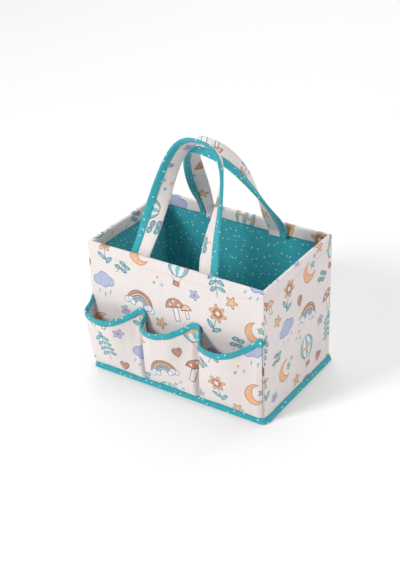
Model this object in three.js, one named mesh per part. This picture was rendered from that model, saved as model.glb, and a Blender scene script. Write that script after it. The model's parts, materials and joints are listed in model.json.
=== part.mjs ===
// A soft nursery caddy: padded cloth walls with a turned hem, a bound bottom, a pleated strip of
// front pockets and two carrying straps. Millimetres, +Z up, the front looks along -Y, and the
// origin is at the middle of the underside.
import * as THREE from "three";

// Overall sizes: length and depth are taken over the bound bottom edge, height to the rim.
const length = 300;
const depth = 200;
const height = 210;
const cornerRadius = 3;
const smallestRadius = 1.5;

// Layers of a wall, from the outside in, with the clearance that touching pieces keep.
const clearance = 0.3;
const outerCloth = 1.0;
const foamThickness = 2.4;
const liningCloth = 0.8;
const mitreGap = 0.3;

// The outer cloth rolls over the rim and is stitched down inside.
const hemDepth = 20;
const rollRadius = 2.6;
const liningTuck = 13;

// The bottom: a tape covers the edge, which flares out to the floor.
const bandHeight = 9.5;
const edgeOverhang = 5;
const footRounding = 0.5;
const bindingCloth = 0.8;
const bindingReach = 10;
const boardThickness = 2.5;
const boardInset = 10;
const sagWidth = 3;

// Front pockets: where the seams are, how far each pocket stands out and where it is deepest.
const pocketCloth = 1.0;
const pocketTopLeft = 121;
const pocketTopRight = 133;
const pocketDrop = 17.5;
const seamHalfWidth = 3;
const pocketBand = 8.5;
const pleatDepth = 9;
const pleatSettles = 1.6;
const leftSeam = -51.5;
const rightSeam = 39;
const leftPocket = { depth: 29, crest: 37, flank: 6.5 };
const middlePocket = { depth: 25.5, crest: 31, flank: 7.5 };
const rightPocket = { depth: 30, crest: 46, flank: 14 };

// Straps: a folded cloth sleeve over a soft core, bound along one edge.
const strapWidth = 30;
const strapSpacing = 118;
const coreThickness = 1.0;
const sleeveCloth = 0.5;
const strapTape = 0.6;
const strapBand = 11;
const strapSewnFrom = 2.5;
const strapSewnTo = 4.5;
const leanRadius = 20;
const hingeAboveRim = 8;
const twistStart = 34;
const frontStrap = {
  facing: -1, shift: -5, lean: 18, rise: 185, apex: 11.5, leftTilt: 31, leftLift: 120,
  rightTilt: 19, rightLift: 74, leftShoulder: 44, rightShoulder: 76, twist: 75,
};
const backStrap = {
  facing: 1, shift: 2, lean: 31, rise: 186, apex: -11, leftTilt: 8, leftLift: 75,
  rightTilt: 3, rightLift: 98, leftShoulder: 30, rightShoulder: 66, twist: 86,
};

// Sizes that follow from the ones above.
const halfLength = length / 2 - edgeOverhang;
const halfDepth = depth / 2 - edgeOverhang;
const foamOutside = -(outerCloth + clearance);
const foamInside = foamOutside - foamThickness;
const liningOutside = foamInside - clearance;
const liningInside = liningOutside - liningCloth;
const facingInside = liningInside - clearance - outerCloth;
const baseClothBottom = bindingCloth + clearance;
const baseClothTop = baseClothBottom + outerCloth;
const wallBottom = baseClothTop + clearance;
const boardBottom = outerCloth + clearance;
const boardTop = boardBottom + boardThickness;
const floorBottom = boardTop + clearance;
const floorTop = floorBottom + liningCloth;
const flareSlope = (edgeOverhang - clearance - bindingCloth) / bandHeight;

const colours = {
  print: 0xece0dc,
  teal: 0x2b9fae,
  foam: 0xf4f3ee,
  board: 0x9a8f84,
};

function fabric(colour, roughness = 0.9) {
  return new THREE.MeshStandardMaterial({ color: colour, roughness, metalness: 0 });
}

/** A closed solid through a row of rings. Each ring goes out along one side of a thin section
 * and back along the other, so its two halves face each other and close the ends like a ladder.
 * Where a profile is given, squares are split the same way on both sides of a sheet, so that
 * layers that lie on each other stay parallel where they twist. */
function loft(rings, { looped = false, profile = null } = {}) {
  const count = rings[0].length;
  const faces = [];
  const steps = looped ? rings.length : rings.length - 1;
  for (let step = 0; step < steps; step += 1) {
    const here = step * count;
    const next = ((step + 1) % rings.length) * count;
    for (let corner = 0; corner < count; corner += 1) {
      const after = (corner + 1) % count;
      if (profile !== null && profile[after].x > profile[corner].x) {
        faces.push([here + corner, next + corner, here + after]);
        faces.push([next + corner, next + after, here + after]);
      } else {
        faces.push([here + corner, next + corner, next + after]);
        faces.push([here + corner, next + after, here + after]);
      }
    }
  }
  if (!looped) {
    const last = (rings.length - 1) * count;
    for (let rung = 0; rung < count / 2 - 1; rung += 1) {
      const across = count - 1 - rung;
      faces.push([rung, rung + 1, across - 1], [rung, across - 1, across]);
      faces.push([last + rung, last + across - 1, last + rung + 1]);
      faces.push([last + rung, last + across, last + across - 1]);
    }
  }
  return closedSurface(rings.flat(), faces);
}

/** Turns points and triangles into a geometry whose faces point out. */
function closedSurface(points, faces) {
  const normal = new THREE.Vector3();
  let volume = 0;
  for (const [a, b, c] of faces) {
    volume += normal.crossVectors(points[a], points[b]).dot(points[c]);
  }
  const outward = volume > 0 ? faces : faces.map(([a, b, c]) => [a, c, b]);
  const geometry = new THREE.BufferGeometry().setFromPoints(points);
  geometry.setIndex(outward.flat());
  geometry.computeVertexNormals();
  return geometry;
}

/** A section of a folded or flat sheet: out along one side, back along the other. */
function section(outside, inside) {
  return [...outside, ...[...inside].reverse()];
}

function arc(centre, radius, from, to, steps) {
  const points = [];
  for (let step = 0; step <= steps; step += 1) {
    const angle = THREE.MathUtils.degToRad(from + ((to - from) * step) / steps);
    points.push(new THREE.Vector2(
      centre.x + radius * Math.cos(angle),
      centre.y + radius * Math.sin(angle),
    ));
  }
  return points;
}

/** How far the wall has flared out at a height above the floor. */
function flare(z) {
  return Math.max(0, bandHeight - z) * flareSlope;
}

/** A point on the rounded rectangle that lies `out` millimetres outside the walls' outer face.
 * The corner is one of the four, and its angle runs from one straight side to the next. */
function planPoint(corner, angle, out, z, along = halfLength, across = halfDepth, slide = 0) {
  const growth = out > 0 ? footRounding * out : out;
  const radius = Math.max(cornerRadius + growth, smallestRadius);
  const direction = THREE.MathUtils.degToRad(corner * 90 + angle);
  const signX = corner === 0 || corner === 3 ? 1 : -1;
  const signY = corner < 2 ? 1 : -1;
  const tangent = slide * (signX * signY > 0 ? 1 : -1);
  return new THREE.Vector3(
    signX * (along + out - radius) + radius * Math.cos(direction) - tangent * Math.sin(direction),
    signY * (across + out - radius) + radius * Math.sin(direction) + tangent * Math.cos(direction),
    z,
  );
}

/** A whole ring round the plan at one offset and height. */
function planLoop(out, z, steps = 4) {
  const points = [];
  for (let corner = 0; corner < 4; corner += 1) {
    for (let step = 0; step <= steps; step += 1) {
      points.push(planPoint(corner, (90 * step) / steps, out, z));
    }
  }
  return points;
}

/** One wall layer: its section swept from mitre to mitre round half of both its corners. */
function wallLayer(profile, along, across) {
  const steps = 3;
  const ring = (corner, angle, slide) => (
    profile.map(({ x, y }) => planPoint(corner, angle, x, y, along, across, slide))
  );
  const leftHalf = [];
  const rightHalf = [];
  for (let step = 0; step <= steps; step += 1) {
    const turned = (45 * step) / steps;
    const slide = step === steps ? mitreGap / 2 : 0;
    leftHalf.push(ring(2, 90 - turned, slide));
    rightHalf.push(ring(3, turned, slide));
  }
  return loft([...leftHalf.reverse(), ...rightHalf]);
}

function flatSheet(outside, inside, bottom, top) {
  return section(
    [new THREE.Vector2(outside, bottom), new THREE.Vector2(outside, top)],
    [new THREE.Vector2(inside, bottom), new THREE.Vector2(inside, top)],
  );
}

/** The outer cloth: flared foot, flat wall, roll over the rim and facing down the inside. */
function hemmedCloth() {
  const roll = new THREE.Vector2(-rollRadius, height - rollRadius);
  const inner = new THREE.Vector2(facingInside + rollRadius, height - rollRadius);
  const under = rollRadius - outerCloth;
  const outside = [
    new THREE.Vector2(flare(wallBottom), wallBottom),
    new THREE.Vector2(0, bandHeight),
    ...arc(roll, rollRadius, 0, 90, 3),
    ...arc(inner, rollRadius, 90, 180, 3),
    new THREE.Vector2(facingInside, height - hemDepth),
  ];
  const inside = [
    new THREE.Vector2(flare(wallBottom) - outerCloth, wallBottom),
    new THREE.Vector2(-outerCloth, bandHeight),
    ...arc(roll, under, 0, 90, 3),
    ...arc(inner, under, 90, 180, 3),
    new THREE.Vector2(facingInside + outerCloth, height - hemDepth),
  ];
  return section(outside, inside);
}

/** The bottom cloth lies flat on the floor and steps up over the tape near its edge. */
function baseCloth() {
  const edge = flare(baseClothTop);
  const stepUp = edgeOverhang - bindingReach - clearance;
  const stepDown = stepUp - sagWidth;
  return loft([
    planLoop(stepDown, 0),
    planLoop(stepUp, baseClothBottom),
    planLoop(edge, baseClothBottom),
    planLoop(edge, baseClothTop),
    planLoop(stepUp, baseClothTop),
    planLoop(stepDown, outerCloth),
  ]);
}

function flatBoard(out, bottom, top) {
  return loft([planLoop(out, bottom), planLoop(out, top)]);
}

/** The tape round the bottom edge: down over the flared wall and in under the bottom cloth. */
function baseTape() {
  const lip = bindingCloth / 2;
  const outerFoot = edgeOverhang;
  const innerFoot = flare(bindingCloth) + clearance;
  const inward = edgeOverhang - bindingReach;
  const outside = [
    new THREE.Vector2(flare(bandHeight) + clearance + bindingCloth, bandHeight),
    new THREE.Vector2(outerFoot, lip),
    new THREE.Vector2(outerFoot - lip, 0),
    new THREE.Vector2(inward, 0),
  ];
  const inside = [
    new THREE.Vector2(flare(bandHeight) + clearance, bandHeight),
    new THREE.Vector2(innerFoot, bindingCloth + lip),
    new THREE.Vector2(innerFoot - lip, bindingCloth),
    new THREE.Vector2(inward, bindingCloth),
  ];
  const rings = [];
  for (let corner = 0; corner < 4; corner += 1) {
    for (let step = 0; step <= 4; step += 1) {
      rings.push(section(outside, inside).map(({ x, y }) => planPoint(corner, 22.5 * step, x, y)));
    }
  }
  return loft(rings, { looped: true });
}

/** One pocket of the strip as two matched lines of points in plan, x along the wall and y out
 * from it: folded flat into a pleat at the foot, and opened out at the top. The open line leaves
 * the left seam steeply over its flank, swells to the crest and falls in a long cosine. */
function pocketLines(start, end, pocket) {
  const low = clearance + pocketCloth / 2;
  const high = low + clearance + bindingCloth;
  const turn = (pocketCloth + clearance) / 2;
  const pleatEnd = start + pleatDepth;
  const foot = [
    new THREE.Vector2(start, low),
    ...arc(new THREE.Vector2(pleatEnd, low + turn), turn, -90, 90, 3),
    ...arc(new THREE.Vector2(start + 1.5 * turn, low + 3 * turn), turn, 270, 90, 3),
  ];
  const steps = 11;
  const layered = low + 4 * turn;
  for (let step = 1; step <= steps; step += 1) {
    const share = step / steps;
    foot.push(new THREE.Vector2(
      THREE.MathUtils.lerp(start + 1.5 * turn, end, share),
      THREE.MathUtils.lerp(layered, low, Math.min(1, pleatSettles * share)),
    ));
  }
  const crest = start + pocket.crest;
  const fall = (share) => pocket.depth * Math.cos((Math.PI / 2) * share) ** 2;
  const open = new THREE.SplineCurve([
    new THREE.Vector2(start, high),
    new THREE.Vector2(start + 0.35 * pocket.flank, high + 0.07 * pocket.depth),
    new THREE.Vector2(start + 0.72 * pocket.flank, 0.42 * pocket.depth),
    new THREE.Vector2(start + pocket.flank, 0.72 * pocket.depth),
    new THREE.Vector2(THREE.MathUtils.lerp(start + pocket.flank, crest, 0.45), 0.94 * pocket.depth),
    new THREE.Vector2(crest, pocket.depth),
    new THREE.Vector2(THREE.MathUtils.lerp(crest, end, 0.3), fall(0.3)),
    new THREE.Vector2(THREE.MathUtils.lerp(crest, end, 0.6), fall(0.6)),
    new THREE.Vector2(THREE.MathUtils.lerp(crest, end, 0.85), Math.max(high, fall(0.85))),
    new THREE.Vector2(end, high),
  ]);
  const travelled = [0];
  for (let index = 1; index < foot.length; index += 1) {
    travelled.push(travelled[index - 1] + foot[index].distanceTo(foot[index - 1]));
  }
  const whole = travelled.at(-1);
  const top = travelled.map((distance) => open.getPointAt(distance / whole));
  return foot.map((point, index) => ({
    foot: point,
    top: top[index],
    out: (top[index].y - high) / (pocket.depth - high),
  }));
}

const pocketEnd = halfLength - cornerRadius;
const pocketFoot = bandHeight + clearance;
const pocketStations = [
  ...pocketLines(-pocketEnd, leftSeam - seamHalfWidth, leftPocket),
  ...pocketLines(leftSeam + seamHalfWidth, rightSeam - seamHalfWidth, middlePocket),
  ...pocketLines(rightSeam + seamHalfWidth, pocketEnd, rightPocket),
];

/** The height of the strip's top edge at one station: it drops where the pocket stands out. */
function pocketTop(station) {
  const share = (station.top.x + pocketEnd) / (2 * pocketEnd);
  const sewn = THREE.MathUtils.lerp(pocketTopLeft, pocketTopRight, share);
  return sewn - pocketDrop * THREE.MathUtils.smoothstep(station.out, -0.1, 1);
}

/** The middle of the strip's cloth at one station and height, in plan. */
function pocketMiddle(station, z) {
  const rise = Math.max(0, (z - pocketFoot) / (pocketTop(station) - pocketFoot));
  return station.foot.clone().lerp(station.top, rise ** 0.75);
}

/** A point of the strip: height z and a distance out from the middle of the cloth. */
function pocketPoint(index, z, out) {
  const before = pocketMiddle(pocketStations[Math.max(0, index - 1)], z);
  const after = pocketMiddle(pocketStations[Math.min(pocketStations.length - 1, index + 1)], z);
  const here = pocketMiddle(pocketStations[index], z);
  const run = after.sub(before).normalize();
  return new THREE.Vector3(here.x - run.y * out, -(halfDepth + here.y + run.x * out), z);
}

function pocketStrip() {
  const rows = [0, 0.12, 0.28, 0.48, 0.72, 1];
  return loft(pocketStations.map((station, index) => {
    const top = pocketTop(station);
    const heights = rows.map((row) => THREE.MathUtils.lerp(pocketFoot, top - pocketBand, row));
    heights.push(top);
    return section(
      heights.map((z) => pocketPoint(index, z, pocketCloth / 2)),
      heights.map((z) => pocketPoint(index, z, -pocketCloth / 2)),
    );
  }));
}

/** The tape folded over the strip's top edge. */
function pocketTape() {
  const inner = pocketCloth / 2 + clearance;
  const outer = inner + bindingCloth;
  return loft(pocketStations.map((station, index) => {
    const top = pocketTop(station);
    const at = (below, out) => pocketPoint(index, Math.min(top, top - below), out)
      .setZ(top - below);
    return section(
      [at(pocketBand, outer), at(0, outer), at(-clearance - bindingCloth, outer / 2),
        at(-clearance - bindingCloth, -outer / 2), at(0, -outer), at(pocketBand, -outer)],
      [at(pocketBand, inner), at(0, inner), at(-clearance, inner / 2),
        at(-clearance, -inner / 2), at(0, -inner), at(pocketBand, -inner)],
    );
  }));
}

// A strap's cross-section, w across its width towards the bound edge and n through its thickness.
const halfCore = coreThickness / 2;
const sleeveInside = halfCore + clearance;
const sleeveOutside = sleeveInside + sleeveCloth;
const tapeInside = sleeveOutside + clearance;
const tapeOutside = tapeInside + strapTape;
const halfStrap = strapWidth / 2;
const rawEdge = halfStrap - strapTape - clearance;
const tapeEdge = halfStrap - strapBand;

/** A sheet folded round one edge: open edge, any middle points, fold, and back on the far side. */
function foldedSection(open, fold, inside, outside, middle = []) {
  const turn = Math.sign(fold - open);
  const wall = outside - inside;
  const corner = inside - clearance;
  const near = [open, ...middle];
  const far = [...near].reverse();
  const side = (n, corners) => [
    ...near.map((w) => new THREE.Vector2(w, n)),
    ...corners.map(([reach, rise]) => new THREE.Vector2(fold - turn * reach, rise)),
    ...far.map((w) => new THREE.Vector2(w, -n)),
  ];
  const reach = wall + clearance;
  return section(
    side(outside, [[reach, outside], [0, corner], [0, -corner], [reach, -outside]]),
    side(inside, [[reach, inside], [wall, corner], [wall, -corner], [reach, -inside]]),
  );
}

/** A flat strip of one thickness, with the points that its neighbours have along their width. */
function stripSection(widths, half) {
  return section(
    widths.map((w) => new THREE.Vector2(w, half)),
    widths.map((w) => new THREE.Vector2(w, -half)),
  );
}

const sleeveSection = foldedSection(rawEdge, -halfStrap, sleeveInside, sleeveOutside, [tapeEdge]);
const tapeSection = foldedSection(tapeEdge, halfStrap, tapeInside, tapeOutside);
const coreFold = sleeveOutside + clearance - halfStrap;
const coreSection = stripSection([rawEdge, tapeEdge, coreFold], halfCore);
const endSection = stripSection([rawEdge, tapeEdge, -halfStrap], sleeveOutside);

/** One strap as a flat arch that leans into the caddy from where its ends are sewn, and twists so
 * that its bound edge faces out at both ends and forward over the top. */
function strapRoute(strap) {
  const foot = strapSpacing / 2;
  const lean = THREE.MathUtils.degToRad(strap.lean);
  const sewnY = strap.facing * (halfDepth + facingInside - clearance - tapeOutside);
  const sewnZ = height - hemDepth + strapSewnFrom;
  const bend = leanRadius * lean;
  const hingeZ = height + hingeAboveRim;
  const hinge = bend + (hingeZ - sewnZ - leanRadius * Math.sin(lean)) / Math.cos(lean);
  const arch = new THREE.CurvePath();
  arch.add(new THREE.CubicBezierCurve(
    new THREE.Vector2(-foot, 0),
    new THREE.Vector2(-foot + strap.leftTilt, strap.leftLift),
    new THREE.Vector2(strap.apex - strap.leftShoulder, strap.rise),
    new THREE.Vector2(strap.apex, strap.rise),
  ));
  arch.add(new THREE.CubicBezierCurve(
    new THREE.Vector2(strap.apex, strap.rise),
    new THREE.Vector2(strap.apex + strap.rightShoulder, strap.rise),
    new THREE.Vector2(foot - strap.rightTilt, strap.rightLift),
    new THREE.Vector2(foot, 0),
  ));
  const reach = arch.getLength();

  /** The place, direction and slant of the leaning plane at a height up along it. */
  function leanAt(up) {
    const turned = THREE.MathUtils.clamp(up / leanRadius, 0, lean);
    const straight = Math.max(0, up - bend);
    const inward = leanRadius * (1 - Math.cos(turned)) + straight * Math.sin(lean);
    const rise = leanRadius * Math.sin(turned) + straight * Math.cos(lean) + Math.min(0, up);
    return { turned, y: sewnY - strap.facing * inward, z: sewnZ + rise };
  }

  /** Centre, running direction, width direction and upward slope at a distance along the strap. */
  function frame(distance) {
    const along = THREE.MathUtils.clamp(distance, 0, reach);
    const flat = arch.getPointAt(along / reach);
    const heading = arch.getTangentAt(along / reach);
    flat.addScaledVector(heading, distance - along);
    const { turned, y, z } = leanAt(flat.y);
    const up = new THREE.Vector3(0, -strap.facing * Math.sin(turned), Math.cos(turned));
    const forward = new THREE.Vector3(0, -Math.cos(turned), -strap.facing * Math.sin(turned));
    const run = up.clone().multiplyScalar(heading.y).setX(heading.x);
    const outward = new THREE.Vector3().crossVectors(forward, run);
    const share = THREE.MathUtils.clamp(
      (Math.min(distance, reach - distance) - twistStart) / (reach / 2 - twistStart),
      0,
      1,
    );
    const twist = THREE.MathUtils.degToRad(strap.twist) * (1 - (1 - share) ** 1.7);
    const width = outward.multiplyScalar(Math.cos(twist)).addScaledVector(forward, Math.sin(twist));
    const normal = new THREE.Vector3().crossVectors(run, width);
    return { centre: new THREE.Vector3(strap.shift + flat.x, y, z), run, width, normal, up };
  }

  /** The distance along the strap at which its middle is at a given height up the plane. */
  function distanceAt(up, fromRight) {
    let low = -2 * strapSewnTo;
    let high = reach / 3;
    for (let halving = 0; halving < 40; halving += 1) {
      const middle = (low + high) / 2;
      const along = THREE.MathUtils.clamp(fromRight ? reach - middle : middle, 0, reach);
      const flat = arch.getPointAt(along / reach);
      const beyond = Math.min(0, middle) * Math.abs(arch.getTangentAt(along / reach).y);
      if (flat.y + beyond < up) {
        low = middle;
      } else {
        high = middle;
      }
    }
    return fromRight ? reach - low : low;
  }

  return { frame, distanceAt, hinge };
}

/** Rings of a section along a strap. The first and last ring are cut to planes square to the lean,
 * so that both legs end on the line of their crease. */
function strapPiece(route, profile, from, to, steps) {
  const rings = [];
  const start = route.distanceAt(from.up, from.right);
  const end = route.distanceAt(to.up, to.right);
  for (let step = 0; step <= steps; step += 1) {
    const { centre, run, width, normal, up } = route.frame(start + ((end - start) * step) / steps);
    const cut = step === 0 || step === steps;
    rings.push(profile.map(({ x, y }) => {
      const offset = width.clone().multiplyScalar(x).addScaledVector(normal, y);
      const slide = cut ? -offset.dot(up) / run.dot(up) : 0;
      return centre.clone().add(offset).addScaledVector(run, slide);
    }));
  }
  return loft(rings, { profile });
}

const caddy = new THREE.Group();

function add(group, name, geometry, material) {
  const mesh = new THREE.Mesh(geometry, material);
  mesh.name = name;
  group.add(mesh);
  return mesh;
}

function addWalls() {
  const sides = [
    { name: "front", turn: 0, along: halfLength, across: halfDepth },
    { name: "right", turn: 1, along: halfDepth, across: halfLength },
    { name: "back", turn: 2, along: halfLength, across: halfDepth },
    { name: "left", turn: 3, along: halfDepth, across: halfLength },
  ];
  const foam = flatSheet(foamOutside, foamInside, wallBottom, height - rollRadius);
  const lining = flatSheet(
    liningOutside,
    liningInside,
    floorTop + clearance,
    height - hemDepth + liningTuck,
  );
  for (const { name, turn, along, across } of sides) {
    const wall = new THREE.Group();
    wall.rotation.z = (turn * Math.PI) / 2;
    caddy.add(wall);
    const layer = (profile) => wallLayer(profile, along, across);
    add(wall, `${name}_outer_panel`, layer(hemmedCloth()), fabric(colours.print));
    add(wall, `${name}_foam`, layer(foam), fabric(colours.foam, 1));
    add(wall, `${name}_lining`, layer(lining), fabric(colours.teal));
  }
}

function addBase() {
  add(caddy, "base_outer_cloth", baseCloth(), fabric(colours.print));
  add(caddy, "base_board", flatBoard(-boardInset, boardBottom, boardTop), fabric(colours.board, 0.8));
  add(caddy, "base_lining", flatBoard(liningInside, floorBottom, floorTop), fabric(colours.teal));
  add(caddy, "base_binding", baseTape(), fabric(colours.teal));
}

function addPockets() {
  add(caddy, "pocket_strip", pocketStrip(), fabric(colours.print));
  add(caddy, "pocket_binding", pocketTape(), fabric(colours.teal));
}

/** A strap's two sewn ends belong to the caddy, and the loop between its creases swings. */
function addStrap(name, strap) {
  const route = strapRoute(strap);
  const above = route.hinge + clearance / 2;
  const below = route.hinge - clearance / 2;
  for (const side of ["left", "right"]) {
    const right = side === "right";
    const sewn = { up: -strapSewnTo, right };
    const crease = { up: below, right };
    const tab = `${name}_${side}_tab`;
    const end = (profile) => strapPiece(route, profile, sewn, crease, 6);
    add(caddy, tab, end(endSection), fabric(colours.print));
    add(caddy, `${tab}_binding`, end(tapeSection), fabric(colours.teal));
  }
  const swinging = new THREE.Group();
  caddy.add(swinging);
  const left = { up: above, right: false };
  const right = { up: above, right: true };
  const loop = (profile) => strapPiece(route, profile, left, right, 44);
  add(swinging, `${name}_strap`, loop(sleeveSection), fabric(colours.print));
  add(swinging, `${name}_strap_core`, loop(coreSection), fabric(colours.foam));
  add(swinging, `${name}_strap_binding`, loop(tapeSection), fabric(colours.teal));
}

addWalls();
addBase();
addPockets();
addStrap("front", frontStrap);
addStrap("back", backStrap);

export default caddy;
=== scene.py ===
# %% [markdown]
# A nursery caddy is soft goods: printed cotton over thin foam, bound with coloured tape, with
# pleated pockets in front and two straps. The solids already have its sizes and joints, so this
# lesson only dresses them. Every piece is cut flat at its real size and then laid where its solid
# is, because a cloth that starts flat keeps its weave and its print true when it bends.

# %% Load the frame
import json
import math
from bisect import bisect_right
from functools import partialmethod

import bpy
from mathutils import Matrix, Vector, noise
from mathutils.bvhtree import BVHTree

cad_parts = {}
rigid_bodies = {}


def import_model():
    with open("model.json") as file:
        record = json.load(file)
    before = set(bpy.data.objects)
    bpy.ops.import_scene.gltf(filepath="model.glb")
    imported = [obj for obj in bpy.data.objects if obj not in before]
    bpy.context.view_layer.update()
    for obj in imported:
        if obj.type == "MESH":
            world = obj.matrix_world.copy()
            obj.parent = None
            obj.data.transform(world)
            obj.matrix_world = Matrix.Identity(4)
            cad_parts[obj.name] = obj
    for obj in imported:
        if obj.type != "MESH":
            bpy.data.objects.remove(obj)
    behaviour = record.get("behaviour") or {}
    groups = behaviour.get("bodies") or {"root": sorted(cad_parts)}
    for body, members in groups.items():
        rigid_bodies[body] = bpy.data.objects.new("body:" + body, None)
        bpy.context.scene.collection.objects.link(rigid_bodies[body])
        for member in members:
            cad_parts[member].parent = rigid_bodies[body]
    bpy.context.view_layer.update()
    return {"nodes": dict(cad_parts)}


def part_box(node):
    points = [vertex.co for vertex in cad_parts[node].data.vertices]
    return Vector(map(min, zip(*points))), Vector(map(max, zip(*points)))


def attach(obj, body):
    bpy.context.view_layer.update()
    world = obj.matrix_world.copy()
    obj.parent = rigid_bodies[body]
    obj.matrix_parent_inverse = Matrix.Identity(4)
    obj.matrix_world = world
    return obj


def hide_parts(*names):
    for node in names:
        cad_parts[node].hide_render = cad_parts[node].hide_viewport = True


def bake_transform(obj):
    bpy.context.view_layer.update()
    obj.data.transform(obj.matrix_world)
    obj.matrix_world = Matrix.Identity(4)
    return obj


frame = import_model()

# %% [markdown]

# %% [markdown]
# The camera comes first. It was found by fitting a pinhole view to the caddy's corners: where it
# looks from, how far away it is and how long its lens is. It could be set by eye, but a fitted view
# puts every edge where it belongs. The back vector points from the object to the camera. The lens
# is given for the long side of the picture, which is its height.

# %% Camera
MM = 0.001
picture_height = 570
focal_pixels = 1244.4
view_azimuth = math.radians(33.91)
view_elevation = math.radians(30.04)
view_roll = math.radians(-1.94)
view_distance = 1806 * MM
aim_height = 105 * MM
aim_right = -16.57 * MM
aim_up = 23.7 * MM
sensor = 36

back = Vector((
    math.sin(view_azimuth) * math.cos(view_elevation),
    -math.cos(view_azimuth) * math.cos(view_elevation),
    math.sin(view_elevation),
))
level = Vector((math.cos(view_azimuth), math.sin(view_azimuth), 0))
upward = back.cross(level)
camera_right = level * math.cos(view_roll) + upward * math.sin(view_roll)
camera_up = upward * math.cos(view_roll) - level * math.sin(view_roll)
aim = Vector((0, 0, aim_height)) + camera_right * aim_right + camera_up * aim_up

bpy.ops.object.camera_add(location=aim + back * view_distance)
camera = bpy.context.object
camera.rotation_euler = Matrix((camera_right, camera_up, back)).transposed().to_euler()
camera.data.sensor_width = sensor
camera.data.lens = focal_pixels * sensor / picture_height
camera.data.clip_end = 20
bpy.context.scene.camera = camera
print("lens, in millimetres:", round(camera.data.lens, 2))

# %% [markdown]
# Soft, even studio light: a key in front and to the left, so the long side is the brighter one and
# its folds turn dark on their right, a weaker one for the short side, a broad one high up behind
# that keeps the floor white, and a pale world. The floor is one big pale plane with nothing on it.

# %% Light and floor


def add_light(name, place, size, watts):
    """A square softbox that faces the middle of the caddy."""
    bpy.ops.object.light_add(type="AREA", location=place)
    lamp = bpy.context.object
    lamp.name = name
    lamp.data.size = size
    lamp.data.energy = watts
    toward = Vector((0, 0, 0.16)) - Vector(place)
    lamp.rotation_euler = toward.to_track_quat("-Z", "Y").to_euler()


add_light("key", (-1.15, -2.2, 1.6), 0.8, 51)
add_light("side", (2.2, -0.3, 1.2), 1.2, 15)
add_light("top", (-0.4, 1.6, 2.6), 4, 70)
bpy.context.scene.view_settings.view_transform = "Standard"

world = bpy.data.worlds.new("studio")
bpy.context.scene.world = world
world.use_nodes = True
world.node_tree.nodes["Background"].inputs["Color"].default_value = (1, 1, 1, 1)
world.node_tree.nodes["Background"].inputs["Strength"].default_value = 0.3

bpy.ops.mesh.primitive_plane_add(size=12)
floor = bpy.context.object
floor.name = "floor"

# %% [markdown]
# Materials are worked out as sums. A Wire stands for a socket, and arithmetic on wires adds the
# nodes that do it, so a pattern can be written like a formula and read like one.

# %% Wires


def add_node(tree, kind, settings=None, sockets=None, output=0):
    """Adds a node with its settings first, then the values or wires of its sockets."""
    node = tree.nodes.new(kind)
    for name, value in (settings or {}).items():
        setattr(node, name, value)
    for name, value in (sockets or {}).items():
        if isinstance(value, Wire):
            tree.links.new(value.socket, node.inputs[name])
        else:
            node.inputs[name].default_value = value
    return Wire(tree, node.outputs[output])


def mix(tree, share, first, second):
    """One colour turned into another by a share."""
    sockets = {0: share, 6: first, 7: second}
    return add_node(tree, "ShaderNodeMix", {"data_type": "RGBA"}, sockets, output=2)


class Wire:
    """A socket that can be added, scaled and compared as a number is."""

    def __init__(self, tree, socket):
        self.tree = tree
        self.socket = socket

    def math(self, operation, *others):
        sockets = dict(enumerate((self, *others)))
        return add_node(self.tree, "ShaderNodeMath", {"operation": operation}, sockets)

    def __rsub__(self, other):
        return add_node(self.tree, "ShaderNodeMath", {"operation": "SUBTRACT"}, {0: other, 1: self})

    def clamped(self):
        return add_node(self.tree, "ShaderNodeClamp", None, {"Value": self})

    def mixed(self, colour, share):
        return mix(self.tree, share, self, colour)

    __add__ = __radd__ = partialmethod(math, "ADD")
    __sub__ = partialmethod(math, "SUBTRACT")
    __mul__ = __rmul__ = partialmethod(math, "MULTIPLY")
    __truediv__ = partialmethod(math, "DIVIDE")
    __neg__ = partialmethod(math, "MULTIPLY", -1)
    __abs__ = partialmethod(math, "ABSOLUTE")
    floor = partialmethod(math, "FLOOR")
    sine = partialmethod(math, "SINE")
    cosine = partialmethod(math, "COSINE")
    root = partialmethod(math, "SQRT")
    least = partialmethod(math, "MINIMUM")
    most = partialmethod(math, "MAXIMUM")


def both(first, second):
    """How long the hypotenuse over two sides is."""
    return (first * first + second * second).root()


def inside(distance, blur=0.5):
    """1 where a distance from an outline is inside it, 0 outside, with a short ramp between."""
    return (0.5 - distance / blur).clamped()


def rgb(red, green, blue):
    """A colour from the 0 to 255 values that a colour picker shows, as light."""
    light = []
    for value in (red, green, blue):
        share = value / 255
        light.append(share / 12.92 if share <= 0.04045 else ((share + 0.055) / 1.055) ** 2.4)
    return (*light, 1)


# %% [markdown]
# Cotton cloth is a plain weave. Modelling its yarns would take millions of faces for half a
# millimetre each, so two crossed waves, each raised where it runs over the other, give its bump, and
# a slow noise makes it a little uneven in tone. Cloth is read by its own flat measure, in
# millimetres, so the weave runs along the cloth wherever it bends.

# %% Cloth


def flat_measure(tree):
    """A cloth's own flat place: two wires in millimetres, and the UV map that they come from."""
    uv = add_node(tree, "ShaderNodeTexCoord", output="UV")
    u = add_node(tree, "ShaderNodeSeparateXYZ", None, {0: uv}, output=0)
    v = add_node(tree, "ShaderNodeSeparateXYZ", None, {0: uv}, output=1)
    return u / MM, v / MM, uv


def soft_noise(tree, vector, scale, detail=2):
    """A slow change between 0 and 1."""
    sockets = {"Vector": vector, "Scale": scale, "Detail": detail}
    return add_node(tree, "ShaderNodeTexNoise", None, sockets)


def weave_height(u, v, pitch):
    """The height of a plain weave, 0 to 1, whose yarns are a pitch apart."""
    across, along = u * (math.pi / pitch), v * (math.pi / pitch)
    warp = abs(across.sine())
    weft = abs(along.sine())
    crossing = (across.cosine() * along.cosine()).math("SIGN")
    over = crossing * 0.5 + 0.5
    return warp * over + weft * (1 - over)


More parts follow.
